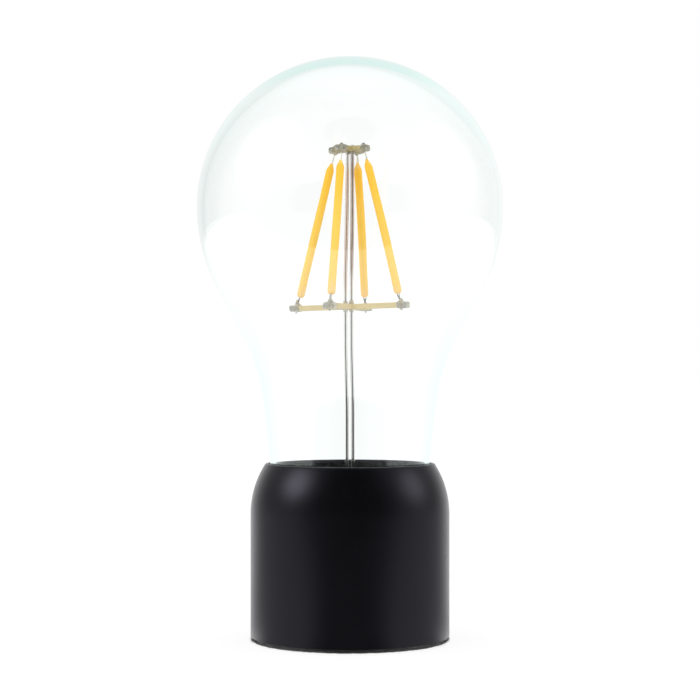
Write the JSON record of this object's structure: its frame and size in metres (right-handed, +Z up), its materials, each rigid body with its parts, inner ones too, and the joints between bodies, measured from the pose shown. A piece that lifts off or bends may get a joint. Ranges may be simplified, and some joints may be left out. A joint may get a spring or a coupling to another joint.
{
  "type": "levitating lamp bulb",
  "caption": "Floating bulb of a levitating lamp: clear glass envelope with leaning yellow filaments between cross-shaped boards on rods, in a black cap with a lifting magnet.",
  "frame": {"origin": "middle of the felt foot's underside, on the surface that the bulb stands on", "axes": "+Z up along the bulb's axis towards the crown, +X to the right and +Y away from the pictured side"},
  "size_m": [0.0684, 0.0684, 0.13],
  "materials": {
    "glass_clear": "clear blown glass with a faint green edge",
    "black_shell": "satin black moulded plastic",
    "felt_black": "fuzzy black felt",
    "black_moulding": "matt black moulded plastic",
    "clear_glue": "cloudy clear silicone",
    "copper_wire": "enamelled copper",
    "ferrite": "dull dark grey sintered sheet",
    "nickel_plate": "bright nickel plate",
    "rod_steel": "drawn and polished wire",
    "lead_metal": "tinned wire",
    "board_tan": "bare tan glass-fibre board",
    "board_green": "green lacquered board",
    "solder": "grey solder with a soft shine",
    "phosphor": "yellow-orange phosphor silicone",
    "component_black": "black moulded package",
    "can_metal": "bare aluminium can",
    "chip_ceramic": "fired ceramic chip"
  },
  "bodies": {
    "root": {"glass_envelope": "glass_clear", "housing_cap": "black_shell", "felt_pad": "felt_black", "bottom_cover": "black_moulding", "neck_adhesive": "clear_glue", "receiver_coil": "copper_wire", "coil_leads": "copper_wire", "ferrite_sheet": "ferrite", "lifting_magnet": "nickel_plate", "magnet_holder": "black_moulding", "driver_board": "board_green", "bridge_rectifier": "component_black", "smoothing_capacitor": "can_metal", "power_inductor": "ferrite", "driver_chip": "component_black", "chip_resistors": "component_black", "tuning_capacitors": "chip_ceramic", "base_rod_solder": "solder", "stem_plate": "black_moulding", "support_rod_left": "rod_steel", "support_rod_right": "rod_steel", "lower_led_board": "board_tan", "upper_led_board": "board_tan", "filament_right": "phosphor", "filament_far": "phosphor", "filament_left": "phosphor", "filament_near": "phosphor", "filament_leads_lower": "lead_metal", "filament_leads_upper": "lead_metal", "lower_lead_solder": "solder", "upper_lead_solder": "solder", "lower_rod_solder": "solder", "upper_rod_solder": "solder"}
  },
  "joints": []
}
